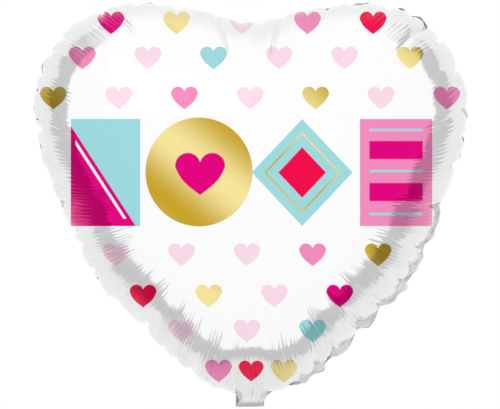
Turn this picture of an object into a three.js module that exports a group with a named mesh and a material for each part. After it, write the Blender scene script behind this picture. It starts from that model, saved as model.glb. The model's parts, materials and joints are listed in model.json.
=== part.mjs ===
// A heart-shaped foil balloon, filled with gas, with its inflation tail folded up behind it.
// Millimetres, +Z up, the printed face towards -Y and the seam in the plane y = 0.
// The origin is the middle of the crease where the tail leaves the neck.

import * as THREE from 'three';

// Cut edge of the inflated heart: its right half, from the notch round to the neck.
const NOTCH_Z = 331;
const SHOULDER = { x: 36, z: 337 };
const LOBE_TOP = { x: 106, z: 356.5 };
const WIDEST = { x: 190.5, z: 262 };
const FLANK = { x: 78, z: 48 };
const POINTS_PER_CURVE = 8;

// Each panel is a dome over the heart, deepest over its centre.
const CENTRE_Z = 205;
const DOME_DEPTH = 108.5;
const DOME_POWER = 1.2;
const DOME_RINGS = 10;

// The film is drawn thicker than it is, so that each piece is a solid.
const FILM = 0.5;
const LAYER_GAP = 0.3;
const WELD_WIDTH = 6;
const NECK_WELD_WIDTH = 11;

// Neck and tail: one flat sleeve, welded along both sides, open between.
const SLEEVE_HALF = 12.5;
const SLEEVE_WELD = 2.5;
const WELD_RAMP = 0.5;
const NECK_Z = 1.2;
const TAIL_START = 3.5;
const TAIL_LENGTH = 62;
const TAIL_FOLD = THREE.MathUtils.degToRad(112);

// Two-ply valve: it lies flat in the sleeve and reaches up into the gas space.
const VALVE_WIDTH = 17;
const VALVE_FILM = 0.3;
const VALVE_TOP = 90;
const INLET_LENGTH = 45;

// Distances from the middle plane to the inner face of each layer.
const WELDED_FACE = LAYER_GAP / 2;
const OPEN_FACE = WELDED_FACE + VALVE_FILM + LAYER_GAP;

const foil = { color: 0xf1f1f3, roughness: 0.2, metalness: 0.5 };
const clearFilm = { color: 0xe6ebee, roughness: 0.35, metalness: 0 };

function named(name, geometry, look) {
  const mesh = new THREE.Mesh(geometry, new THREE.MeshStandardMaterial(look));
  mesh.name = name;
  return mesh;
}

// The cut edge as a ring of points, with extra points where the neck's weld begins.
function cutEdge() {
  const half = new THREE.Path();
  half.moveTo(0, NOTCH_Z);
  half.bezierCurveTo(16, NOTCH_Z, 28, 333, SHOULDER.x, SHOULDER.z);
  half.bezierCurveTo(54, 346, 80, LOBE_TOP.z, LOBE_TOP.x, LOBE_TOP.z);
  half.bezierCurveTo(153, LOBE_TOP.z, WIDEST.x, 312, WIDEST.x, WIDEST.z);
  half.bezierCurveTo(WIDEST.x, 190, 140, 105, FLANK.x, FLANK.z);
  half.bezierCurveTo(55, 27, 34, 11, SLEEVE_HALF, NECK_Z);
  const right = half.getPoints(POINTS_PER_CURVE);
  const weldStart = SLEEVE_HALF - SLEEVE_WELD;
  right.push(new THREE.Vector2(weldStart, NECK_Z));
  right.push(new THREE.Vector2(weldStart - WELD_RAMP, NECK_Z));
  const left = right.slice(1).reverse().map((p) => new THREE.Vector2(-p.x, p.y));
  return [...right, ...left];
}

// The inner face lifts off the middle plane where the valve passes through the neck.
function innerFace(edgePoint) {
  const overValve = edgePoint.y <= NECK_Z && Math.abs(edgePoint.x) < SLEEVE_HALF - SLEEVE_WELD;
  return overValve ? OPEN_FACE : WELDED_FACE;
}

function weldWidth(edgePoint) {
  return edgePoint.y <= NECK_Z ? NECK_WELD_WIDTH : WELD_WIDTH;
}

// One skin of a panel, as rings of points from the cut edge to the single point at its centre.
function panelSkin(edge, seamInset, lift) {
  const centre = new THREE.Vector2(0, CENTRE_Z);
  const rings = [edge.map((p) => new THREE.Vector3(p.x, -innerFace(p) - lift, p.y))];
  for (let k = 0; k < DOME_RINGS; k++) {
    const turn = (k / DOME_RINGS) * (Math.PI / 2);
    const bulge = DOME_DEPTH * Math.sin(turn) ** DOME_POWER;
    rings.push(edge.map((p) => {
      const spoke = p.clone().sub(centre);
      const reach = (spoke.length() - weldWidth(p) - seamInset) * Math.cos(turn);
      const q = spoke.setLength(reach).add(centre);
      return new THREE.Vector3(q.x, -innerFace(p) - lift - bulge, q.y);
    }));
  }
  rings.push([new THREE.Vector3(0, -WELDED_FACE - lift - DOME_DEPTH, CENTRE_Z)]);
  return rings;
}

// A closed surface through rings of points whose first and last rings are single points.
function closedSurface(rings) {
  const index = [];
  let start = 0;
  for (let k = 0; k + 1 < rings.length; k++) {
    const here = rings[k].length;
    const there = rings[k + 1].length;
    const next = start + here;
    const count = Math.max(here, there);
    for (let i = 0; i < count; i++) {
      const j = (i + 1) % count;
      if (there > 1) index.push(start + (i % here), next + j, next + i);
      if (here > 1) index.push(start + i, start + j, next + (j % there));
    }
    start = next;
  }
  const geometry = new THREE.BufferGeometry().setFromPoints(rings.flat());
  geometry.setIndex(index);
  geometry.computeVertexNormals();
  return geometry;
}

// A dished panel: its outer skin, the cut edge, then its inner skin, one film apart.
function panel() {
  const edge = cutEdge();
  const outer = panelSkin(edge, 0, FILM);
  const inner = panelSkin(edge, FILM, 0);
  return closedSurface([...outer.reverse(), ...inner]);
}

// Half of the flat sleeve: a wide strip whose two sides step in to the middle plane.
function tailHalf() {
  const weldStart = SLEEVE_HALF - SLEEVE_WELD;
  const webHalf = weldStart - WELD_RAMP;
  const innerHalf = [[SLEEVE_HALF, WELDED_FACE], [weldStart, WELDED_FACE], [webHalf, OPEN_FACE]];
  const rampShift = FILM / 2;
  const outerHalf = [[webHalf + rampShift, OPEN_FACE + FILM],
    [weldStart + rampShift, WELDED_FACE + FILM], [SLEEVE_HALF, WELDED_FACE + FILM]];
  const mirrored = (points) => points.map(([x, y]) => [-x, y]).reverse();
  const section = [...innerHalf, ...mirrored(innerHalf), ...mirrored(outerHalf), ...outerHalf];
  const shape = new THREE.Shape(section.map(([x, y]) => new THREE.Vector2(x, -y)));
  const depth = TAIL_LENGTH - TAIL_START;
  return new THREE.ExtrudeGeometry(shape, { depth, bevelEnabled: false });
}

const balloon = new THREE.Group();

const frontPanel = named('front_panel', panel(), foil);
const rearPanel = named('rear_panel', panel(), foil);
rearPanel.rotation.z = Math.PI;
balloon.add(frontPanel, rearPanel);

// The tail is built hanging straight down, then turned up behind the balloon.
const tail = new THREE.Group();
tail.rotation.x = TAIL_FOLD;
balloon.add(tail);

const tailFront = named('tail_front', tailHalf(), foil);
const tailRear = named('tail_rear', tailHalf(), foil);
tailFront.position.z = -TAIL_LENGTH;
tailRear.position.z = -TAIL_LENGTH;
tailRear.rotation.z = Math.PI;
tail.add(tailFront, tailRear);

const filmY = WELDED_FACE + VALVE_FILM / 2;
for (const [side, y] of [['front', -filmY], ['rear', filmY]]) {
  const filmLength = VALVE_TOP - NECK_Z;
  const film = named(`valve_film_${side}`,
    new THREE.BoxGeometry(VALVE_WIDTH, VALVE_FILM, filmLength), clearFilm);
  film.position.set(0, y, NECK_Z + filmLength / 2);
  balloon.add(film);

  const inletLength = INLET_LENGTH - TAIL_START;
  const inlet = named(`valve_inlet_${side}`,
    new THREE.BoxGeometry(VALVE_WIDTH, VALVE_FILM, inletLength), clearFilm);
  inlet.position.set(0, y, -TAIL_START - inletLength / 2);
  tail.add(inlet);
}

export default balloon;
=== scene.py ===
# %% [markdown]
# # A heart-shaped foil balloon
# A foil balloon is two flat sheets of metallised film, cut to the same heart and welded to each
# other along the cut edge. At the tip the weld stops and the two sheets run on as a flat tail,
# which holds a two-ply valve of clear film. The tail is folded up behind the balloon. Film hardly
# stretches, so the gas cannot turn a flat heart into a round one: the face goes smooth and tight,
# and the spare film along the weld gathers into pinches and fine crinkles. That is what makes foil
# look like foil, so this lesson cuts the heart flat and lets a cloth simulation inflate it.

# %% The fixed frame
import json
import math

import bpy
import mathutils
import numpy as np
from mathutils.geometry import delaunay_2d_cdt
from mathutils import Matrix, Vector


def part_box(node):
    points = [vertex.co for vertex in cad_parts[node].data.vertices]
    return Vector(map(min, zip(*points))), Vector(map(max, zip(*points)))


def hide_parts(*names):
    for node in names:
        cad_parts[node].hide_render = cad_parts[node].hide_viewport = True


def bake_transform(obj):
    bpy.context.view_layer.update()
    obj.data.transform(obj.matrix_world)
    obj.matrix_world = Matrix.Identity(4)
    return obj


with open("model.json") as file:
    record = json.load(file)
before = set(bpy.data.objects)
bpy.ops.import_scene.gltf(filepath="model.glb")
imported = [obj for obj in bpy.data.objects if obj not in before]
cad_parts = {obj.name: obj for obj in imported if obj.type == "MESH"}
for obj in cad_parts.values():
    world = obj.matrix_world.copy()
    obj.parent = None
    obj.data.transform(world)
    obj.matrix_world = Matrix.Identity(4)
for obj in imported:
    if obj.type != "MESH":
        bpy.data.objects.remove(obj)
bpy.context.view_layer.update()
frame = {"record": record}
MM = 0.001
rng = np.random.default_rng(5)

# %% [markdown]
# The tail's width and fold come from the frame, so the film meets the hinge it has to turn about.
# The face of the folded tail points along the turned -Y axis, which gives the angle of the fold.

# %% Sizes from the frame
NECK_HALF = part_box("tail_front")[1][0]
VALVE_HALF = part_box("valve_inlet_front")[1][0]
VALVE_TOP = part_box("valve_film_front")[1][2]
face = next(m for m in frame["record"]["mounts"] if m["name"] == "tail_face")["axis"]
TAIL_FOLD = math.atan2(-face[2], -face[1])
TAIL_LENGTH = 62 * MM
VALVE_LENGTH = 45 * MM
print(f"neck {2 * NECK_HALF / MM:.1f} mm wide, tail folded {math.degrees(TAIL_FOLD):.0f} degrees")

# %% [markdown]
# ## The flat cut
# The die that cuts the sheets is a plump heart with no sharp corner but the tail. Its radius,
# measured from the middle, is known every 22.5 degrees from the notch to the tip. A sum of cosines
# runs smoothly through those nine radii and is the same on both sides. It is larger than the
# filled balloon, because a sheet loses about a fifth of its width when it bulges.

# %% The cut edge
CUT_RADII = np.array([222, 244, 270, 263.5, 235, 219, 213, 223, 236]) * MM
NECK_TAB = 7 * MM
NECK_EASE = 21 * MM


def smooth_step(low, high, value):
    """0 below low, 1 above high, and an S-shaped cubic between them."""
    t = np.clip((value - low) / (high - low), 0, 1)
    return t * t * (3 - 2 * t)


def even_ring(points, count):
    """The same closed ring with count points at even distances along it."""
    closed = np.vstack([points, points[:1]])
    along = np.r_[0, np.cumsum(np.linalg.norm(np.diff(closed, axis=0), axis=1))]
    places = np.arange(count) * along[-1] / count
    return np.stack([np.interp(places, along, closed[:, axis]) for axis in (0, 1)], axis=1)


def cut_edge():
    """Radius at angle t from the notch is the sum of a_k cos(k t); the tip gets a short square tab."""
    waves = np.arange(len(CUT_RADII))
    angles = waves * math.pi / (len(CUT_RADII) - 1)
    amounts = np.linalg.solve(np.cos(np.outer(angles, waves)), CUT_RADII)
    t = np.linspace(0, 2 * math.pi, 4000, endpoint=False)
    radius = np.cos(np.outer(t, waves)) @ amounts
    x, z = radius * np.sin(t), radius * np.cos(t)
    tab = smooth_step(NECK_EASE, NECK_HALF, np.abs(x)) * (z < 0)
    z += tab * (-(CUT_RADII[-1] + NECK_TAB) - z)
    return np.stack([x, z], axis=1)


edge = cut_edge()
print(f"flat cut {np.ptp(edge[:, 0]) / MM:.0f} x {np.ptp(edge[:, 1]) / MM:.0f} mm")

# %% [markdown]
# ## One sheet as a mesh
# The same recipe makes two meshes of the sheet. Rows of quads follow the edge inwards, then rings of
# points that grow further apart towards the middle are joined by triangles, each ring nudged at
# random so that no straight line of edges invites a fold. The mesh for the cloth has three rows,
# just the weld. The finished sheet has many rows, because a crinkle 5 mm wide needs narrow faces.

# %% Rows, rings and faces
WELD = 6 * MM
RING_STEP = 0.88
INNER_RADIUS = 6 * MM
NUDGE = 0.1


def scaled_to(ring, inset):
    """The ring drawn towards the heart's middle by inset, along straight spokes."""
    return ring * (1 - inset / np.linalg.norm(ring, axis=1))[:, None]


def sheet_mesh(count, insets, narrow, wide, begin, end):
    """Rows of count points at each inset, then rings whose spacing goes from narrow to wide as their
    distance from the edge goes from begin to end, joined by triangles."""
    border_ring = even_ring(edge, count)
    rows = [scaled_to(border_ring, inset) for inset in insets]
    last = rows[-1]
    around = np.linalg.norm(last - np.roll(last, 1, axis=0), axis=1).sum()
    outer_radius, depth, rings = np.linalg.norm(last, axis=1).mean(), 0, []
    while True:
        widening = np.clip((depth + insets[-1] - begin) / (end - begin), 0, 1)
        spacing = narrow + (wide - narrow) * widening
        depth += spacing * RING_STEP
        share = 1 - depth / outer_radius
        if share * outer_radius < INNER_RADIUS:
            break
        ring = even_ring(last * share, max(6, round(around * share / spacing)))
        rings.append(ring + rng.normal(0, NUDGE * spacing, ring.shape))
    loose = np.vstack(rings + [np.zeros((1, 2))])
    corners = [mathutils.Vector(p) for p in np.vstack([last, loose])]
    border = [(i, (i + 1) % count) for i in range(count)]
    placed, _, triangles, *_ = delaunay_2d_cdt(corners, border, [], 1, 1e-7)
    points = np.vstack(rows[:-1] + [np.array([tuple(p) for p in placed])])
    i = np.arange(count)
    j = (i + 1) % count
    shift = count * np.arange(len(rows) - 1)[:, None, None]
    quads = (np.stack([i, i + count, j + count, j], axis=1)[None] + shift).reshape(-1, 4)
    return points, quads, np.array(triangles) + count * (len(rows) - 1)


# %% [markdown]
# ## Inflating it
# Both sheets are one cloth: they share the rows of the weld, and pressure pushes them apart. The
# film resists stretching but gives way when it is pushed together, as crumpling film does, so its
# compression stiffness is low. Blender's cloth is happiest with pieces a few metres wide, so the
# heart is inflated at ten times its size. The neck's edge is pinned where the tail's hinge is.

# %% The cloth simulation
CLOTH_SCALE = 10
CLOTH_FRAMES = 16
CLOTH_EDGE = 640
CLOTH = dict(
    quality=5, mass=0.01, tension_stiffness=40, compression_stiffness=0.5, shear_stiffness=2,
    bending_stiffness=0.1, tension_damping=5, compression_damping=5, shear_damping=5,
    bending_damping=0.5, air_damping=1, use_pressure=True, uniform_pressure_force=5,
)
cloth_flat, cloth_quads, cloth_triangles = sheet_mesh(
    CLOTH_EDGE, (0, 3 * MM, WELD), 3.2 * MM, 8 * MM, 31 * MM, 101 * MM)
in_weld = 3 * CLOTH_EDGE
rear_index = np.arange(len(cloth_flat))
rear_index[in_weld:] += len(cloth_flat) - in_weld
print(len(cloth_flat), "points in each half of the cloth")


def inflate():
    """The points of both sheets after the pressure has filled them, in metres."""
    points = np.zeros((2 * len(cloth_flat) - in_weld, 3))
    for index, bulge in ((np.arange(len(cloth_flat)), -1 * MM), (rear_index, 1 * MM)):
        points[index, 0], points[index, 2] = cloth_flat[:, 0], cloth_flat[:, 1] - edge[:, 1].min()
        points[index[in_weld:], 1] = bulge
    weld_faces = np.vstack([cloth_quads[:, [0, 1, 2]], cloth_quads[:, [0, 2, 3]]])
    faces = np.vstack([weld_faces, cloth_triangles, rear_index[cloth_triangles][:, ::-1]])
    points *= CLOTH_SCALE
    points += rng.normal(0, 0.05 * MM * CLOTH_SCALE, points.shape)
    pinned = CLOTH_EDGE // 2 + np.arange(-5, 6)
    points[pinned] = 0
    points[pinned, 0] = np.linspace(NECK_HALF, -NECK_HALF, len(pinned)) * CLOTH_SCALE
    mesh = bpy.data.meshes.new("inflating")
    mesh.from_pydata(points.tolist(), [], faces.tolist())
    film = bpy.data.objects.new("inflating", mesh)
    bpy.context.scene.collection.objects.link(film)
    film.vertex_groups.new(name="neck").add(pinned.tolist(), 1, "REPLACE")
    cloth = film.modifiers.new("cloth", "CLOTH")
    for name, value in CLOTH.items():
        setattr(cloth.settings, name, value)
    cloth.settings.vertex_group_mass = "neck"
    cloth.settings.effector_weights.gravity = 0
    cloth.collision_settings.use_collision = False
    for step in range(1, CLOTH_FRAMES + 1):
        bpy.context.scene.frame_set(step)
    filled = film.evaluated_get(bpy.context.evaluated_depsgraph_get())
    result = np.empty(points.size, dtype=np.float32)
    filled.data.vertices.foreach_get("co", result)
    bpy.data.objects.remove(film)
    bpy.context.scene.frame_set(1)
    return result.reshape(-1, 3).astype(float) / CLOTH_SCALE


def upright(points):
    """Turned about the hinge until the weld's best plane through it is the plane y = 0."""
    weld = points[:CLOTH_EDGE]
    lean = -math.atan2((weld[:, 1] * weld[:, 2]).sum(), (weld[:, 2] ** 2).sum())
    turned = points.copy()
    turned[:, 1] = points[:, 1] * math.cos(lean) + points[:, 2] * math.sin(lean)
    turned[:, 2] = points[:, 2] * math.cos(lean) - points[:, 1] * math.sin(lean)
    return turned


filled = upright(inflate())
low, high = filled.min(axis=0) / MM, filled.max(axis=0) / MM
print("filled balloon from", low.round(1), "to", high.round(1), "mm")

# %% [markdown]
# ## The fine sheet
# The cloth's shape is carried over to the fine mesh. Every fine point looks at the nearest cloth
# points that lay nearest to it on the flat cut, fits a plane to where they have gone, nearer ones
# counting more, and takes its own place on that plane. This also irons out the mesh's own noise.
#
# Beside the neck the cloth sags below the crease, where real film runs up from the tail in a
# cone. So the low film is lifted, and held above a line that climbs from the crease at 35 degrees.

# %% Carrying the shape over
EDGE_POINTS = 620
ROW_INSETS = np.array([0, 3, 6, 8.5, 12, 17, 23, 30, 38, 46, 55, 64, 73, 83, 94, 106]) * MM
NEAREST = 14
SAG, SAG_HEIGHT = 6.5 * MM, 70 * MM
NECK_SLOPE, NECK_RISE, NECK_SOFTNESS = 0.7, 0.5 * MM, 2.5 * MM
flat, quads, triangles = sheet_mesh(EDGE_POINTS, ROW_INSETS, 3 * MM, 9 * MM, 106 * MM, 122 * MM)
edge = flat[:EDGE_POINTS]
neck_level = edge[:, 1].min()
neck_columns = EDGE_POINTS // 2 + np.arange(-5, 6)
neck_x = np.linspace(NECK_HALF, -NECK_HALF, len(neck_columns))


def carried(places, moved):
    """Weighted least squares: moved = a + b * dx + c * dz round each place, and the answer is a."""
    answer = np.empty((len(places), 3))
    for block in np.array_split(np.arange(len(places)), 12):
        apart = places[block][:, None] - cloth_flat[None]
        distance = np.hypot(apart[..., 0], apart[..., 1])
        near = np.argpartition(distance, NEAREST, axis=1)[:, :NEAREST]
        gap = np.take_along_axis(distance, near, axis=1)
        offset = -np.take_along_axis(apart, near[..., None], axis=1)
        weight = np.exp(-2 * (gap / gap.mean(axis=1, keepdims=True)) ** 2)
        basis = np.concatenate([np.ones_like(gap)[..., None], offset / MM], axis=2)
        scaled = basis * weight[..., None]
        normal = np.einsum("nki,nkj->nij", scaled, basis) + 1e-6 * np.eye(3)
        target = np.einsum("nki,nkd->nid", scaled, moved[near])
        answer[block] = np.linalg.solve(normal, target)[:, 0]
    return answer


def raised(sheet):
    """z gains the sag's lift, then becomes a soft maximum of itself and the line above the crease:
    (z + line + hypot(z - line, softness)) / 2. The neck itself is put where the hinge is."""
    from_neck = np.hypot(flat[:, 0], flat[:, 1] - neck_level)
    beside_neck = smooth_step(0.3 * NECK_HALF, 2.5 * NECK_HALF, from_neck)
    z = sheet[:, 2] + SAG * (1 - smooth_step(0, SAG_HEIGHT, sheet[:, 2])) * beside_neck
    line = NECK_SLOPE * np.abs(sheet[:, 1]) + NECK_RISE
    z = (z + line + np.hypot(z - line, NECK_SOFTNESS)) / 2
    result = np.stack([sheet[:, 0], sheet[:, 1], z], axis=1)
    result[neck_columns] = np.stack([neck_x, 0 * neck_x, 0 * neck_x], axis=1)
    return result


front_filled = raised(carried(flat, filled[:len(cloth_flat)]))
rear_filled = raised(carried(flat, filled[rear_index]))
print(f"{len(flat)} points, {len(quads)} quads, {len(triangles)} triangles in the fine sheet")

# %% [markdown]
# ## From one cloth to two sheets with a tail
# Each printed sheet is one piece of film from the top of the heart to the end of the tail, so each
# becomes one mesh that crosses the fold. At the neck the two sheets part by the thickness of the
# valve between them. A round of Catmull-Clark subdivision halves every face and rounds the crease.
# The same rule is applied to the flat cut, so every fine point still knows where on the film it is.

# %% Tail rows and subdivision
TAIL_ROWS = 26
WELD_ROWS = 3
GAP = 0.12 * MM
NECK_GAP = 0.75 * MM
TAIL_PUFF = 0.9 * MM
TAIL_WAVE, TAIL_RIPPLE = 0.7 * MM, 0.35 * MM


def sleeve_gap(x):
    """Half the gap between the sheets across the sleeve: none at its two welds, widest between."""
    return GAP + NECK_GAP * (1 - np.clip(np.abs(x) / NECK_HALF, 0, 1) ** 4)


def sleeve(x, along, side):
    """Points of the folded tail: x across it, along from the crease, a gentle common wave, a puff."""
    opening = 1 + TAIL_PUFF / NECK_GAP * smooth_step(20 * MM, TAIL_LENGTH, along)
    across = (sleeve_gap(x) - GAP) * opening + GAP
    wave = TAIL_WAVE * np.sin(along / (8.5 * MM))
    wave += TAIL_RIPPLE * np.sin(x / (3.1 * MM) + along / (5 * MM))
    wave *= smooth_step(4 * MM, 20 * MM, along)
    y, z = wave + side * across, -along
    turned_y = y * math.cos(TAIL_FOLD) - z * math.sin(TAIL_FOLD)
    turned_z = y * math.sin(TAIL_FOLD) + z * math.cos(TAIL_FOLD)
    return np.stack([x, turned_y, turned_z], axis=-1)


def subdivided(points, faces):
    """One round of Catmull-Clark: the new points and the new four-sided faces."""
    mesh = bpy.data.meshes.new("coarse")
    mesh.from_pydata(points.tolist(), [], faces)
    coarse = bpy.data.objects.new("coarse", mesh)
    bpy.context.scene.collection.objects.link(coarse)
    rule = coarse.modifiers.new("subdivision", "SUBSURF")
    rule.levels = rule.render_levels = 1
    fine = coarse.evaluated_get(bpy.context.evaluated_depsgraph_get()).data
    places = np.empty(len(fine.vertices) * 3, dtype=np.float32)
    corners = np.empty(len(fine.loops), dtype=np.int32)
    fine.vertices.foreach_get("co", places)
    fine.loops.foreach_get("vertex_index", corners)
    bpy.data.objects.remove(coarse)
    return places.reshape(-1, 3).astype(float), corners.reshape(-1, 4)


def with_tail(filled_sheet, side):
    """A sheet's filled points and flat points, with the tail's rows added below the neck."""
    shape = filled_sheet.copy()
    cut = np.insert(flat, 1, 0, axis=1)
    for row in range(WELD_ROWS):
        columns = neck_columns + row * EDGE_POINTS
        shape[columns, 1] += side * (sleeve_gap(shape[columns, 0]) - GAP)
    across, along = np.meshgrid(neck_x, np.linspace(0, TAIL_LENGTH, TAIL_ROWS + 1)[1:])
    tail = sleeve(across, along, side).reshape(-1, 3)
    tail_cut = np.stack([across, 0 * across, neck_level - along], axis=-1).reshape(-1, 3)
    grid = np.vstack([neck_columns, len(flat) + np.arange(across.size).reshape(across.shape)])
    strip = np.stack([grid[:-1, :-1], grid[:-1, 1:], grid[1:, 1:], grid[1:, :-1]], axis=-1)
    four = np.vstack([quads, strip.reshape(-1, 4)])
    faces = [f[::-side] for f in four.tolist() + triangles.tolist()]
    fine, corners = subdivided(np.vstack([shape, tail]), faces)
    cut_fine, _ = subdivided(np.vstack([cut, tail_cut]), faces)
    return fine, corners, cut_fine[:, [0, 2]]


front_fine, front_faces, cut_places = with_tail(front_filled, -1)
rear_fine, rear_faces, _ = with_tail(rear_filled, 1)
print(len(front_fine), "points and", len(front_faces), "faces in each sheet")

# %% [markdown]
# ## Pinches and crinkles
# Where the edge has to shorten most, the film gathers: about every 60 mm a pinch runs in from the
# weld and draws the edge into a scallop, and between the pinches the film stands in fine, even
# pleats that die out towards the smooth face. The simulation gives the swelling and the broad
# scallops; its faces are too large for the pleats, so those are added here as formulas. Each needs
# two numbers for a point: how far round the weld it lies, and how far in from the weld.

# %% Round and in
seam_lengths = np.r_[0, np.cumsum(np.linalg.norm(np.diff(edge, axis=0), axis=1))]
edge_angles = np.unwrap(np.arctan2(edge[:, 0], edge[:, 1]))
edge_length = seam_lengths[-1] + np.linalg.norm(edge[0] - edge[-1])
cut_angles = np.arctan2(cut_places[:, 0], cut_places[:, 1]) % (2 * math.pi)
cut_reach = np.linalg.norm(cut_places, axis=1)
full_turn = np.r_[edge_angles, edge_angles[0] + 2 * math.pi]
round_edge = np.interp(cut_angles, full_turn, np.r_[seam_lengths, edge_length])
edge_reach = np.linalg.norm(edge, axis=1)
inset = np.interp(cut_angles, full_turn, np.r_[edge_reach, edge_reach[0]]) - cut_reach
in_from_weld = inset - WELD
neck_distance = np.hypot(cut_places[:, 0], cut_places[:, 1] - neck_level)
on_heart = smooth_step(NECK_HALF, 2.2 * NECK_HALF, neck_distance)
MIDDLE = np.array([0, 0, 200]) * MM
seam_now = front_filled[:EDGE_POINTS] - MIDDLE
seam_compass = np.degrees(np.unwrap(np.arctan2(seam_now[:, 0], seam_now[:, 2])))
compass = np.interp(round_edge, seam_lengths, seam_compass)
lower_right = smooth_step(78, 105, compass) * (1 - smooth_step(160, 176, compass))
print(f"edge {edge_length:.3f} m long, compass from {seam_compass[0]:.0f} to {seam_compass[-1]:.0f}")

# %% [markdown]
# The pinches are placed one by one, by compass bearing about the heart's middle seen from the front:
# 0 is up, 90 is to the right. Two of them stand either side of the notch.

# %% Pinches by bearing
PINCHES = (  # bearing in degrees, depth in mm, length in mm
    (-14, 6.0, 80), (-27, 2.4, 40), (-41, 2.8, 50), (-56, 2.6, 50), (-73, 3.6, 60), (-88, 2.4, 40),
    (-105, 4.0, 65), (-119, 2.6, 45), (-133, 4.2, 70), (-144, 2.8, 50), (-154, 4.0, 65),
    (-165, 3.0, 50), (13, 6.0, 80), (26, 2.4, 40), (38, 2.8, 50), (49.4, 6.0, 75), (59, 3.2, 50),
    (71, 4.0, 60), (84, 2.6, 40), (96, 3.8, 60), (110, 4.4, 65), (123, 4.0, 65), (134, 4.4, 70),
    (144, 3.6, 60), (155, 4.2, 65), (166, 3.2, 50),
)
PINCH_REACH = 1.55
SHARE_DRAWN = 0.8
FLARE, STAND_OUT = 1.5 * MM, 1.05


def pinched(points, normals):
    """Each pinch sinks the film along its normal by depth exp(-offset / width) and draws the edge
    towards the middle by 0.8 of that. It is deepest 9 mm in from the weld, never passes through
    the middle plane, and dies out along its length. At the lower right the rim stands out."""
    bearing, depth, length = (np.array(column, dtype=float) for column in zip(*PINCHES))
    at = np.interp(bearing % 360, seam_compass % 360, seam_lengths, period=360)
    offset = (round_edge[:, None] - at + edge_length / 2) % edge_length - edge_length / 2
    offset += 0.72 * MM * np.sin(in_from_weld / (7 * MM))[:, None]
    reach = np.clip(in_from_weld[:, None] / (PINCH_REACH * length * MM), 0, 1)
    width = (1.3 + 1.8 * reach) * MM
    valley = np.exp(-np.sqrt((offset / width) ** 2 + 0.08) + 0.28) * depth * MM
    rise = smooth_step(-2 * MM, 9 * MM, in_from_weld)[:, None]
    sunk = (valley * rise * (1 - reach) ** 1.2).sum(axis=1) * on_heart
    sunk = np.minimum(sunk, 0.7 * np.abs(points[:, 1]))
    past_weld = np.clip(in_from_weld, 0, None)
    drawn = (np.exp(-np.abs(offset) / (7 * MM)) * depth * MM * SHARE_DRAWN).sum(axis=1)
    drawn *= np.exp(-past_weld / (12 * MM)) * on_heart
    spoke = (points - MIDDLE) * (1, 0, 1)
    spoke /= np.maximum(np.linalg.norm(spoke, axis=1), 1 * MM)[:, None]
    flare = FLARE * np.exp(-past_weld / (9 * MM)) + STAND_OUT * np.clip(-in_from_weld, 0, None)
    flare *= lower_right * on_heart
    return points - normals * sunk[:, None] + spoke * (flare - drawn)[:, None]


# %% [markdown]
# The pleats are a sine wave round the weld, about 5 mm from crest to crest. Its phase wanders, so
# the pleats are uneven, and its height swells and fades in patches. Slow random waves do both:
# a few sines of the way round with fixed random phases, which join up after a full turn. The
# two sheets crinkle together, so one set of heights serves both. The welded rim also sways to
# and fro across y = 0, by a millimetre or two, and less further in.

# %% Pleats
PLEAT_SPACING = 5.1 * MM
PLEAT_HEIGHT = 0.85 * MM
RIM_SWAY, RIM_RIPPLE = 0.9 * MM, 0.08 * MM
turn = 2 * math.pi * round_edge / edge_length


def slow_wave(source, lowest, highest):
    """Unevenness round the edge, mostly between -1.5 and 1.5: the sum of sines with random
    phases, over the square root of their number."""
    counts = np.arange(lowest, highest)
    phases = source.uniform(0, 2 * math.pi, len(counts))
    return np.sin(np.outer(turn, counts) + phases).sum(axis=1) / math.sqrt(len(counts))


def pleat_heights():
    """size * rise from the weld * fall towards the face * sin(round / spacing + wander + curl)."""
    source = np.random.default_rng(11)
    lower_sides = smooth_step(0.5, -0.35, np.cos(cut_angles))
    pleats = round(edge_length / PLEAT_SPACING) * turn
    wander = 2.2 * slow_wave(source, 9, 40) + 0.5 * slow_wave(source, 60, 110)
    curl = 1.6 * np.sin(in_from_weld / (11 * MM) + 2 * slow_wave(source, 3, 14))
    length = (66 + 13 * slow_wave(source, 20, 90) + 24 * lower_sides) * MM
    fall = np.exp(-(np.clip(in_from_weld, 0, None) / np.maximum(length, 20 * MM)) ** 4)
    rise = smooth_step(3 * MM, 28 * MM, in_from_weld)
    patches = np.clip(0.75 + 0.4 * slow_wave(source, 12, 50), 0.1, 1.4)
    size = PLEAT_HEIGHT * (0.55 + 0.45 * lower_sides) * patches
    wave = np.sin(pleats + wander + curl) + 0.35 * np.sin(0.5 * pleats + 3 * wander)
    return size * rise * fall * wave * on_heart


sway = RIM_SWAY * slow_wave(rng, 14, 40) + RIM_RIPPLE * slow_wave(rng, 70, 130)
sway *= np.exp(-np.clip(in_from_weld, 0, None) / (10 * MM)) * on_heart
pleats_out = pleat_heights()
print(round(edge_length / PLEAT_SPACING), "pleats round the weld and", len(PINCHES), "pinches")
print(f"the rim sways by up to {np.abs(sway).max() / MM:.1f} mm")

# %% [markdown]
# A point's normal comes from the four-sided faces round it: the cross product of each face's
# diagonals, added up at its corners. The finished sheet is given the thickness of film, outwards,
# by a Solidify modifier, so that it is a closed skin. Real film is thinner than this, but a sheet
# that thin would flicker against its twin in the weld.

# %% Finished sheets
FILM = 0.1 * MM
CAMERA_DISTANCE = 3.0
VIEW_HEIGHT = 178.6 * MM


def normals_of(points, faces):
    """Unit normals at the points, from the diagonals of the faces that meet there."""
    first = points[faces[:, 2]] - points[faces[:, 0]]
    second = points[faces[:, 3]] - points[faces[:, 1]]
    across = np.cross(first, second)
    total = np.zeros_like(points)
    np.add.at(total, faces.ravel(), np.repeat(across, 4, axis=0))
    return total / np.maximum(np.linalg.norm(total, axis=1), 1e-12)[:, None]


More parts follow.
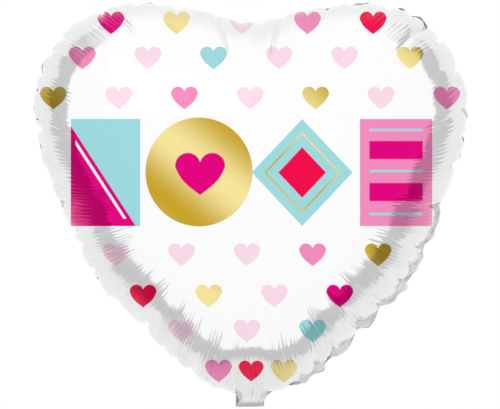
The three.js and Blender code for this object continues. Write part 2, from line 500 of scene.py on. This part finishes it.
def mesh_piece(name, points, faces, maps):
    """An object with smooth faces, its points in place, and a UV map for each named pair of arrays."""
    mesh = bpy.data.meshes.new(name)
    mesh.from_pydata(points.tolist(), [], faces.tolist())
    mesh.shade_smooth()
    corners = faces.ravel()
    for title, places in maps.items():
        layer = mesh.uv_layers.new(name=title)
        layer.uv.foreach_set("vector", places[corners].astype(np.float32).ravel())
    piece = bpy.data.objects.new(name, mesh)
    bpy.context.scene.collection.objects.link(piece)
    return piece


def thicken(piece, thickness):
    """Film of this thickness, outwards from the drawn surface."""
    wall = piece.modifiers.new("film", "SOLIDIFY")
    wall.thickness, wall.offset = thickness, 1


def foil_sheet(name, fine, faces, side):
    """The fine sheet with its pleats, pinches and rim; its print map lies flat on the view that
    faces it, so that the print is square and even there."""
    normals = normals_of(fine, faces)
    shape = pinched(fine + normals * pleats_out[:, None], normals)
    shape[:, 1] += sway + side * GAP * on_heart
    spread = CAMERA_DISTANCE / (CAMERA_DISTANCE - np.abs(shape[:, 1]))
    across, up = -side * shape[:, 0] * spread, VIEW_HEIGHT + (shape[:, 2] - VIEW_HEIGHT) * spread
    printed = np.stack([across, up], axis=1)
    in_tail = cut_places[:, 1] < neck_level
    printed[in_tail, 1] = cut_places[in_tail, 1] - neck_level
    rim = np.stack([round_edge, in_from_weld], axis=1)
    piece = mesh_piece(name, shape, faces, {"print": printed, "rim": rim})
    thicken(piece, FILM)
    return piece


front = foil_sheet("front_sheet", front_fine, front_faces, -1)
rear = foil_sheet("rear_sheet", rear_fine, rear_faces, 1)
print("about", 4 * len(front_faces), "triangles in each thickened sheet")
print("front sheet", (np.array(front.dimensions) / MM).round(1), "mm")

# %% [markdown]
# ## The valve
# Two strips of clear film lie between the sheets of the tail and reach up into the gas. They are
# flat ribbons that follow the fold, each a grid: one number across, one number along.

# %% Valve plies
VALVE_SPREAD = 0.16 * MM
VALVE_FILM = 0.06 * MM
VALVE_SWAY = 3 * MM


def valve_ply(name, side):
    """Across is x; along runs from the top of the ply, down through the neck, into the tail."""
    x, along = np.meshgrid(
        np.linspace(-VALVE_HALF, VALVE_HALF, 9), np.linspace(-VALVE_TOP, VALVE_LENGTH, 90))
    inside = np.clip(-along, 0, None)
    lean = VALVE_SWAY * np.sin(inside / (24 * MM)) * smooth_step(0, 60 * MM, inside)
    hang = np.stack([x, lean + side * VALVE_SPREAD, inside], axis=-1)
    tail = sleeve(x, np.clip(along, 0, None), 0)
    tail += side * VALVE_SPREAD * np.array([0, math.cos(TAIL_FOLD), math.sin(TAIL_FOLD)])
    points = np.where(along[..., None] > 0, tail, hang).reshape(-1, 3)
    grid = np.arange(x.size).reshape(x.shape)
    corners = (grid[:-1, :-1], grid[1:, :-1], grid[1:, 1:], grid[:-1, 1:])
    faces = np.stack(corners, axis=-1).reshape(-1, 4)
    places = np.stack([x, along], axis=-1).reshape(-1, 2)
    piece = mesh_piece(name, points, faces if side < 0 else faces[:, ::-1], {"ply": places})
    thicken(piece, VALVE_FILM)
    return piece


valve_front = valve_ply("valve_ply_front", -1)
valve_rear = valve_ply("valve_ply_rear", 1)
print("valve ply", (np.array(valve_front.dimensions) / MM).round(1), "mm")

# %% [markdown]
# ## Materials
# Every material is a small network of nodes. One function adds a node: its settings go by name,
# and its sockets take either a value or another node's output.

# %% Colours and nodes
def linear(hex_colour):
    """The linear colour of an sRGB hex value, as Blender's sockets want it."""
    parts = np.array([int(hex_colour[i:i + 2], 16) for i in (1, 3, 5)]) / 255
    curve = np.where(parts <= 0.04045, parts / 12.92, ((parts + 0.055) / 1.055) ** 2.4)
    return (*curve.tolist(), 1)


def add(tree, kind, sockets=(), **settings):
    """A new node of this kind; sockets maps a name or number to a value or an output to link."""
    node = tree.nodes.new(kind)
    for name, value in settings.items():
        setattr(node, name, value)
    for key, value in dict(sockets).items():
        if isinstance(value, bpy.types.NodeSocket):
            tree.links.new(value, node.inputs[key])
        else:
            node.inputs[key].default_value = value
    return node


def new_material(name):
    """An empty material: its tree, and the Principled shader that ends it."""
    material = bpy.data.materials.new(name)
    material.use_nodes = True
    tree = material.node_tree
    tree.nodes.clear()
    shader = add(tree, "ShaderNodeBsdfPrincipled")
    add(tree, "ShaderNodeOutputMaterial", {0: shader.outputs[0]})
    return material, tree, shader


# %% [markdown]
# ## The print
# The film is printed flat with five inks and a gold, over a white base that covers the metal.
# Each shape of the print is a stamp: the position is measured from the stamp's middle in units of
# its half size, and a short formula says which positions are inside. Layers of ink are then mixed
# on top of each other in the order they are printed.

# %% Stamps
INKS = dict(
    white="#FFFFFF", magenta="#E60080", rose="#F58EC0", blush="#FCDCEB", aqua="#A0DCE0",
    red="#F40A4C", gold="#DDBB4C",
)
LOBE_RADIUS, LOBE_MIDDLE, TIP_DEPTH = 0.51, (0.49, 0.04), 1.12
SIDE_STRAIGHT, SIDE_POWER = 0.67, 5.0


def local(tree, place, middle, half):
    """Position from the stamp's middle, in half sizes."""
    moved = add(tree, "ShaderNodeVectorMath", {0: place, 1: (*middle, 0)}, operation="SUBTRACT")
    return add(tree, "ShaderNodeVectorMath", {0: moved.outputs[0], 1: (*half, 1)},
               operation="DIVIDE").outputs[0]


def heart_value(tree, q):
    """Below 1 inside a heart: distance / radius in its round lobes, and below them s - y / depth,
    where s is a mix of |x|, which makes the tip, and |x| ** power, which rounds the sides."""
    top = LOBE_MIDDLE[1] + LOBE_RADIUS
    parts = add(tree, "ShaderNodeSeparateXYZ", {0: q})
    x = add(tree, "ShaderNodeMath", {0: parts.outputs[0]}, operation="ABSOLUTE").outputs[0]
    y = add(tree, "ShaderNodeMath",
            {0: parts.outputs[1], 1: (top + TIP_DEPTH) / 2, 2: (top - TIP_DEPTH) / 2},
            operation="MULTIPLY_ADD").outputs[0]
    curve = add(tree, "ShaderNodeMath", {0: x, 1: SIDE_POWER}, operation="POWER").outputs[0]
    curve = add(tree, "ShaderNodeMix", {0: SIDE_STRAIGHT, 2: curve, 3: x}, data_type="FLOAT").outputs[0]
    sides = add(tree, "ShaderNodeMath", {0: y, 1: -1 / TIP_DEPTH, 2: curve},
                operation="MULTIPLY_ADD").outputs[0]
    place = add(tree, "ShaderNodeCombineXYZ", {0: x, 1: y}).outputs[0]
    gap = add(tree, "ShaderNodeVectorMath", {0: place, 1: (*LOBE_MIDDLE, 0)},
              operation="DISTANCE").outputs["Value"]
    lobe = add(tree, "ShaderNodeMath", {0: gap, 1: 1 / LOBE_RADIUS}, operation="MULTIPLY").outputs[0]
    above = add(tree, "ShaderNodeMath", {0: y, 1: LOBE_MIDDLE[1]}, operation="GREATER_THAN").outputs[0]
    return add(tree, "ShaderNodeMix", {0: above, 2: sides, 3: lobe}, data_type="FLOAT").outputs[0]


def stamp_value(tree, q, shape):
    """Below 1 inside the shape: a block, a diamond, a disc, a heart or a corner half."""
    if shape == "heart":
        return heart_value(tree, q)
    if shape == "disc":
        return add(tree, "ShaderNodeVectorMath", {0: q}, operation="LENGTH").outputs["Value"]
    if shape == "corner":
        return add(tree, "ShaderNodeVectorMath", {0: q, 1: (-8, -8, 0)},
                   operation="DOT_PRODUCT").outputs["Value"]
    size = add(tree, "ShaderNodeVectorMath", {0: q}, operation="ABSOLUTE").outputs[0]
    parts = add(tree, "ShaderNodeSeparateXYZ", {0: size})
    rule = "ADD" if shape == "diamond" else "MAXIMUM"
    return add(tree, "ShaderNodeMath", {0: parts.outputs[0], 1: parts.outputs[1]},
               operation=rule).outputs[0]


# %% [markdown]
# The big shapes form a band across the middle: a block split into two colours by its diagonal, a
# gold disc with a heart in it, a diamond inside a diamond, and a striped block. Rows of small
# hearts, 58 mm apart, fill the face above and below the band, each row shifted from the last.

# %% The pattern, in millimetres from the neck
BAND = (  # shape, ink, middle, half size, and for a corner the block that holds it
    ("block", "magenta", (-127.4, 206.8), (30.6, 47.2)),
    ("corner", "aqua", (-127.4, 206.8), (30.6, 47.2)),
    ("line", "white", (-127.4, 206.8), (30.6, 47.2)),
    ("disc", "gold", (-45, 207.3), (47.2, 48.0)),
    ("heart", "magenta", (-44, 205.5), (22, 18.6)),
    ("diamond", "aqua", (46, 206.8), (44.5, 47.2)),
    ("diamond", "gold", (46, 206.8), (33.5, 35.5)),
    ("diamond", "aqua", (46, 206.8), (31.5, 33.5)),
    ("diamond", "red", (46, 206.8), (21, 22.3)),
    ("block", "rose", (128.8, 206.8), (31.8, 47.2)),
    ("block", "magenta", (128.8, 226.6), (23.5, 8.0)),
    ("block", "magenta", (128.8, 189.6), (23.5, 8.0)),
    ("block", "aqua", (128.8, 244.3), (23.5, 1.1)),
    ("block", "aqua", (128.8, 208.1), (23.5, 1.1)),
    ("block", "aqua", (128.8, 170.2), (23.5, 1.1)),
    ("heart", "red", (1, 31.8), (11, 9.2)),
)
HEART_SPACING = 57.8
HEART_HALF = (11.8, 10)
HEART_ROWS = (  # height, middle of the first heart, inks from left to right
    (338.7, -122.6, "magenta gold blush rose red"),
    (307.8, -147.8, "rose blush aqua blush blush gold"),
    (272.5, -173.4, "gold blush rose blush gold blush rose"),
    (134.3, -118.2, "blush blush blush rose gold"),
    (97.9, -94.2, "red gold blush magenta"),
    (67.0, -60.4, "blush blush aqua"),
    (31.8, -27.8, "rose gold"),
)


def band_layers(tree, place):
    """One layer for each stamp of the band: its mask, its ink and whether that is gold."""
    for shape, ink, middle, half in BAND:
        q = local(tree, place, middle, half)
        if shape == "line":
            slope = add(tree, "ShaderNodeVectorMath", {0: q, 1: (1, 1, 0)},
                        operation="DOT_PRODUCT").outputs["Value"]
            mask = add(tree, "ShaderNodeMath", {0: slope, 1: -0.3, 2: 0.045},
                       operation="COMPARE").outputs[0]
        else:
            value = stamp_value(tree, q, shape)
            mask = add(tree, "ShaderNodeMath", {0: value, 1: 1.0}, operation="LESS_THAN").outputs[0]
        if shape in ("corner", "line"):
            block = stamp_value(tree, q, "block")
            limit = 1.0 if shape == "corner" else 0.86
            within = add(tree, "ShaderNodeMath", {0: block, 1: limit}, operation="LESS_THAN").outputs[0]
            mask = add(tree, "ShaderNodeMath", {0: mask, 1: within}, operation="MULTIPLY").outputs[0]
        yield mask, linear(INKS[ink]), 1.0 if ink == "gold" else 0.0


def heart_layers(tree, place):
    """One layer for each row: the nearest heart's middle is found by rounding, its ink by a ramp."""
    parts = add(tree, "ShaderNodeSeparateXYZ", {0: place})
    for height, first, inks in HEART_ROWS:
        inks = inks.split()
        step = add(tree, "ShaderNodeMath",
                   {0: parts.outputs[0], 1: 1 / HEART_SPACING, 2: -first / HEART_SPACING},
                   operation="MULTIPLY_ADD").outputs[0]
        column = add(tree, "ShaderNodeMath", {0: step}, operation="ROUND").outputs[0]
        x = add(tree, "ShaderNodeMath", {0: step, 1: column}, operation="SUBTRACT").outputs[0]
        x = add(tree, "ShaderNodeMath", {0: x, 1: HEART_SPACING / HEART_HALF[0]},
                operation="MULTIPLY").outputs[0]
        y = add(tree, "ShaderNodeMath",
                {0: parts.outputs[1], 1: 1 / HEART_HALF[1], 2: -height / HEART_HALF[1]},
                operation="MULTIPLY_ADD").outputs[0]
        q = add(tree, "ShaderNodeCombineXYZ", {0: x, 1: y}).outputs[0]
        mask = add(tree, "ShaderNodeMath", {0: heart_value(tree, q), 1: 1.0},
                   operation="LESS_THAN").outputs[0]
        share = add(tree, "ShaderNodeMath", {0: column, 1: 1 / len(inks), 2: 0.5 / len(inks)},
                    operation="MULTIPLY_ADD").outputs[0]
        in_row = add(tree, "ShaderNodeMath", {0: share, 1: 0.5, 2: 0.5}, operation="COMPARE").outputs[0]
        mask = add(tree, "ShaderNodeMath", {0: mask, 1: in_row}, operation="MULTIPLY").outputs[0]
        chosen = add(tree, "ShaderNodeValToRGB", {0: share})
        ramp = chosen.color_ramp
        ramp.interpolation = "CONSTANT"
        for number, ink in enumerate(inks):
            stop = ramp.elements[0] if number == 0 else ramp.elements.new(number / len(inks))
            stop.position = number / len(inks)
            stop.color = (*linear(INKS[ink])[:3], float(ink == "gold"))
        ramp.elements.remove(ramp.elements[-1])
        yield mask, chosen.outputs[0], chosen.outputs[1]


# %% [markdown]
# ## Printed metallised film
# The film is nylon with a vapour-deposited layer of aluminium, printed on the outside: a bright,
# tight mirror dimmed by a white base, so reflections show softly and whiter than bare foil. The
# gold is a clear tinted ink straight on the aluminium, so it keeps the metal's full shine; its
# colour is also painted from pale to deep across each shape, a painted highlight. The welded rim
# is left bare of ink and has the fine cross ribs of the hot sealing bar, a soft grey line of
# painted shade where the film creases at its inner edge, and its cut edge shows as a thin, broken
# grey line. Creases too fine for the mesh run across the rim as bump.

# %% Printed film
# The slant and phase of the painted highlight that runs across the gold.
GOLD_HIGHLIGHT_SLANT, GOLD_HIGHLIGHT_PHASE = (0.045, 0.055, 0), -1.95  # radians for each millimetre
SHINE_OF_INK, SHINE_OF_GOLD = 0.6, 0.88
DULLEST, GLOSSIEST = 0.09, 0.05
HAIR_GRAIN = (0.62, 0.035, 0)
RIB_SCALE, RIB_HEIGHT = 0.32, 0.015


def printed_film(name):
    """Ink over aluminium: layers of print, a painted highlight on the gold, then the bare rim with a
    line of painted shade at its crease, then shine, dullness and creases.
    """
    material, tree, shader = new_material(name)
    chart = add(tree, "ShaderNodeUVMap", uv_map="print").outputs[0]
    place = add(tree, "ShaderNodeVectorMath", {0: chart, "Scale": 1 / MM}, operation="SCALE").outputs[0]
    rim = add(tree, "ShaderNodeUVMap", uv_map="rim").outputs[0]
    rim_mm = add(tree, "ShaderNodeVectorMath", {0: rim, "Scale": 1 / MM}, operation="SCALE").outputs[0]
    inward = add(tree, "ShaderNodeSeparateXYZ", {0: rim_mm})
    colour, gold = linear(INKS["white"]), 0.0
    for mask, ink, is_gold in (*heart_layers(tree, place), *band_layers(tree, place)):
        colour = add(tree, "ShaderNodeMix", {0: mask, 6: colour, 7: ink}, data_type="RGBA").outputs[2]
        gold = add(tree, "ShaderNodeMix", {0: mask, 2: gold, 3: is_gold}, data_type="FLOAT").outputs[0]
    # Painted highlight: the gold's colour runs from pale to deep and back along a slant,
    # about every 88 mm.
    slant = add(tree, "ShaderNodeVectorMath", {0: place, 1: GOLD_HIGHLIGHT_SLANT},
                operation="DOT_PRODUCT").outputs["Value"]
    slant = add(tree, "ShaderNodeMath", {0: slant, 1: GOLD_HIGHLIGHT_PHASE}, operation="ADD").outputs[0]
    swing = add(tree, "ShaderNodeMath", {0: slant}, operation="SINE").outputs[0]
    gold_highlight_tone = add(tree, "ShaderNodeMapRange", {0: swing, 1: -1.0, 2: 1.0}).outputs[0]
    painted_gold_highlight = add(tree, "ShaderNodeMix", {0: gold_highlight_tone, 6: linear("#C9A52A"), 7: linear("#F7E69C")},
               data_type="RGBA").outputs[2]
    colour = add(tree, "ShaderNodeMix", {0: gold, 6: colour, 7: painted_gold_highlight}, data_type="RGBA").outputs[2]
    bare = add(tree, "ShaderNodeMath", {0: inward.outputs[1], 1: -0.5},
               operation="LESS_THAN").outputs[0]
    colour = add(tree, "ShaderNodeMix", {0: bare, 6: colour, 7: linear("#E9EAEC")},
                 data_type="RGBA").outputs[2]
    # Painted shade: a soft grey line where the film creases along the inner edge of the weld.
    painted_crease_shade = add(tree, "ShaderNodeMath", {0: inward.outputs[1], 1: -0.1, 2: 0.45},
                 operation="COMPARE").outputs[0]
    colour = add(tree, "ShaderNodeMix", {0: painted_crease_shade, 6: colour, 7: linear("#C6C7CB")},
                 data_type="RGBA").outputs[2]
    broken = add(tree, "ShaderNodeTexNoise",
                 {"Vector": rim_mm, "Scale": 0.09, "Detail": 1.0}).outputs[0]
    line_from = add(tree, "ShaderNodeMapRange",
                    {0: broken, 1: 0.35, 2: 0.65, 3: -6.4, 4: -5.4}).outputs[0]
    cut_line = add(tree, "ShaderNodeMath", {0: inward.outputs[1], 1: line_from},
                   operation="LESS_THAN").outputs[0]
    colour = add(tree, "ShaderNodeMix", {0: cut_line, 6: colour, 7: linear("#A3A4A9")},
                 data_type="RGBA").outputs[2]
    metal = add(tree, "ShaderNodeMapRange", {0: gold, 3: SHINE_OF_INK, 4: SHINE_OF_GOLD}).outputs[0]
    # Handling marks: patches about 30 mm across where the shine is a little duller.
    patches = add(tree, "ShaderNodeTexNoise",
                  {"Vector": place, "Scale": 0.033, "Detail": 3.0}).outputs[0]
    rough = add(tree, "ShaderNodeMapRange",
                {0: patches, 1: 0.3, 2: 0.7, 3: GLOSSIEST, 4: DULLEST}).outputs[0]
    # Hair creases: noise drawn out across the rim, 1.6 mm apart, gone 85 mm in.
    long_way = add(tree, "ShaderNodeVectorMath", {0: rim_mm, 1: HAIR_GRAIN},
                   operation="MULTIPLY").outputs[0]
    hair = add(tree, "ShaderNodeTexNoise", {"Vector": long_way, "Scale": 1.0, "Detail": 2.0}).outputs[0]
    fading = add(tree, "ShaderNodeMapRange",
                 {0: inward.outputs[1], 1: 6.0, 2: 85.0, 3: 0.5, 4: 0.0}).outputs[0]
    hair = add(tree, "ShaderNodeMath", {0: hair, 1: fading}, operation="MULTIPLY").outputs[0]
    starting = add(tree, "ShaderNodeMapRange", {0: inward.outputs[1], 1: 1.0, 2: 12.0}).outputs[0]
    hair = add(tree, "ShaderNodeMath", {0: hair, 1: starting}, operation="MULTIPLY").outputs[0]
    ribs = add(tree, "ShaderNodeTexWave", {"Vector": rim_mm, "Scale": RIB_SCALE},
               bands_direction="X").outputs[1]
    ribs = add(tree, "ShaderNodeMath", {0: ribs, 1: bare}, operation="MULTIPLY").outputs[0]
    height = add(tree, "ShaderNodeMath", {0: ribs, 1: RIB_HEIGHT, 2: hair},
                 operation="MULTIPLY_ADD").outputs[0]
    bump = add(tree, "ShaderNodeBump", {"Height": height, "Distance": MM, "Strength": 0.5}).outputs[0]
    sockets = {"Base Color": colour, "Metallic": metal, "Roughness": rough, "Normal": bump}
    for socket, value in sockets.items():
        tree.links.new(value, shader.inputs[socket])
    shader.inputs["Specular IOR Level"].default_value = 0.06
    return material


PLY_GRAIN = (900, 60, 0)  # for each metre


def clear_film():
    """Blown polyethylene film: colourless, a little hazy, and faintly ribbed along its length,
    with a grain about 1 mm wide and 17 mm long."""
    material, tree, shader = new_material("polyethylene film, blown, clear")
    ply = add(tree, "ShaderNodeUVMap", uv_map="ply").outputs[0]
    grain = add(tree, "ShaderNodeVectorMath", {0: ply, 1: PLY_GRAIN}, operation="MULTIPLY").outputs[0]
    haze = add(tree, "ShaderNodeTexNoise", {"Vector": grain, "Scale": 1.0, "Detail": 3.0}).outputs[0]
    tint = add(tree, "ShaderNodeMix", {0: haze, 6: linear("#DDE4E8"), 7: linear("#F4F8FA")},
               data_type="RGBA").outputs[2]
    rough = add(tree, "ShaderNodeMapRange", {0: haze, 1: 0.3, 2: 0.7, 3: 0.25, 4: 0.4}).outputs[0]
    bump = add(tree, "ShaderNodeBump",
               {"Height": haze, "Distance": 0.05 * MM, "Strength": 0.4}).outputs[0]
    for socket, value in (("Base Color", tint), ("Roughness", rough), ("Normal", bump)):
        tree.links.new(value, shader.inputs[socket])
    shader.inputs["IOR"].default_value = 1.51
    return material


front.data.materials.append(printed_film("nylon film, metallised, printed, front"))
rear.data.materials.append(printed_film("nylon film, metallised, printed, rear"))
valve_material = clear_film()
for ply in (valve_front, valve_rear):
    ply.data.materials.append(valve_material)
print([m.name for m in bpy.data.materials if m.users])

# %% [markdown]
# ## Bodies
# The tail turns about a hinge at the neck. Film does not have a hinge pin, it creases, so every
# sheet follows the balloon above the crease and the tail beyond it, with a short turn between.
# Each finished piece stands in for the frame's parts it is listed with: those are hidden, and the
# piece's placement is baked into its points.

# %% Bodies
for piece, slot, nodes in (
    (front, "front_foil", ("front_panel", "tail_front")),
    (rear, "rear_foil", ("rear_panel", "tail_rear")),
    (valve_front, "valve_film", ("valve_film_front", "valve_inlet_front")),
    (valve_rear, "valve_film", ("valve_film_rear", "valve_inlet_rear")),
):
    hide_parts(*nodes)
    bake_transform(piece)

# %% [markdown]
# Each sheet's cut size is worked out: the width of the flat edge, and its height plus the tail's
# length. Each edge point's neighbour round the ring is found as well.

# %% Cut sizes
neighbour = np.roll(edge, -1, axis=0)
sheet_size = (np.ptp(edge[:, 0]), np.ptp(edge[:, 1]) + TAIL_LENGTH)

# %% [markdown]
# ## Studio
# Foil shows what is round it, so the room matters more than the lamps. This one is white in front,
# behind and above, with one soft grey wall running round beside the balloon. Its reflection is the
# grey line that sits a little in from the rim. The camera sees plain white, and the floor is pale.

# %% Room, floor and lamp
GREY_WALL = (  # direction along Y from -1 to 1 mapped to 0..1, and how bright the room is there
    (0.42, 1.0), (0.44, 0.38), (0.645, 0.36), (0.69, 0.76), (0.95, 0.88),
)


def room():
    """A world that is white to the camera, and white with one grey wall in reflections."""
    world = bpy.data.worlds.new("white studio")
    bpy.context.scene.world = world
    world.use_nodes = True
    tree = world.node_tree
    tree.nodes.clear()
    toward = add(tree, "ShaderNodeTexCoord").outputs["Generated"]
    parts = add(tree, "ShaderNodeSeparateXYZ", {0: toward})
    depth = add(tree, "ShaderNodeMapRange", {0: parts.outputs[1], 1: -1.0, 2: 1.0}).outputs[0]
    wall = add(tree, "ShaderNodeValToRGB", {0: depth})
    stops = wall.color_ramp.elements
    stops[0].color = stops[1].color = (1, 1, 1, 1)
    for place, level in GREY_WALL:
        stops.new(place).color = (level, level, level * 1.01, 1)
    above = add(tree, "ShaderNodeMapRange", {0: parts.outputs[2], 1: 0.72, 2: 0.93}).outputs[0]
    lit = add(tree, "ShaderNodeMix", {0: above, 6: wall.outputs[0], 7: (1, 1, 1, 1)},
              data_type="RGBA").outputs[2]
    seen = add(tree, "ShaderNodeLightPath").outputs["Is Camera Ray"]
    shown = add(tree, "ShaderNodeMix", {0: seen, 6: lit, 7: (1, 1, 1, 1)}, data_type="RGBA").outputs[2]
    sky = add(tree, "ShaderNodeBackground", {0: shown, 1: 1.0})
    add(tree, "ShaderNodeOutputWorld", {0: sky.outputs[0]})


FLOOR_RADIUS, FLOOR_HEIGHT = 1.8, -0.15


def floor():
    """A round pale floor below the lowest reach of the hanging tail."""
    turn = np.linspace(0, 2 * math.pi, 96, endpoint=False)
    ring = np.stack([np.cos(turn), np.sin(turn), 0 * turn], axis=1) * FLOOR_RADIUS
    ring[:, 2] = FLOOR_HEIGHT
    mesh = bpy.data.meshes.new("floor")
    mesh.from_pydata(ring.tolist(), [], [list(range(len(ring)))])
    ground = bpy.data.objects.new("floor", mesh)
    bpy.context.scene.collection.objects.link(ground)
    material, tree, shader = new_material("paper, matt, white")
    fleck = add(tree, "ShaderNodeTexCoord").outputs["Object"]
    fibre = add(tree, "ShaderNodeTexNoise", {"Vector": fleck, "Scale": 60.0, "Detail": 4.0}).outputs[0]
    tint = add(tree, "ShaderNodeMix", {0: fibre, 6: linear("#F6F6F6"), 7: linear("#FDFDFD")},
               data_type="RGBA").outputs[2]
    tree.links.new(tint, shader.inputs["Base Color"])
    shader.inputs["Roughness"].default_value = 0.9
    mesh.materials.append(material)
    ground.visible_glossy = False


def lamp():
    """A wide soft panel above and in front, weak, for a gentle fall-off over the face."""
    light = bpy.data.lights.new("softbox", "AREA")
    light.shape, light.size, light.size_y, light.energy = "RECTANGLE", 1.6, 1.2, 0.5
    light.specular_factor = 0
    panel = bpy.data.objects.new("softbox", light)
    panel.location = (-0.7, -1.6, 1.6)
    aim = mathutils.Vector((0, 0, 0.18)) - panel.location
    panel.rotation_euler = aim.to_track_quat("-Z", "Y").to_euler()
    bpy.context.scene.collection.objects.link(panel)


room()
floor()
lamp()
bpy.context.scene.view_settings.view_transform = "Standard"

# %% [markdown]
# The camera stands 3 m in front, level with the middle of the balloon, with a long lens, so that
# the heart is seen straight on and almost without perspective.

# %% Camera
VIEW_WIDTH = 0.441
lens = bpy.data.cameras.new("camera")
lens.lens = lens.sensor_width * CAMERA_DISTANCE / VIEW_WIDTH
camera = bpy.data.objects.new("camera", lens)
camera.location = (0, -CAMERA_DISTANCE, VIEW_HEIGHT)
camera.rotation_euler = (math.pi / 2, 0, 0)
bpy.context.scene.collection.objects.link(camera)
bpy.context.scene.camera = camera
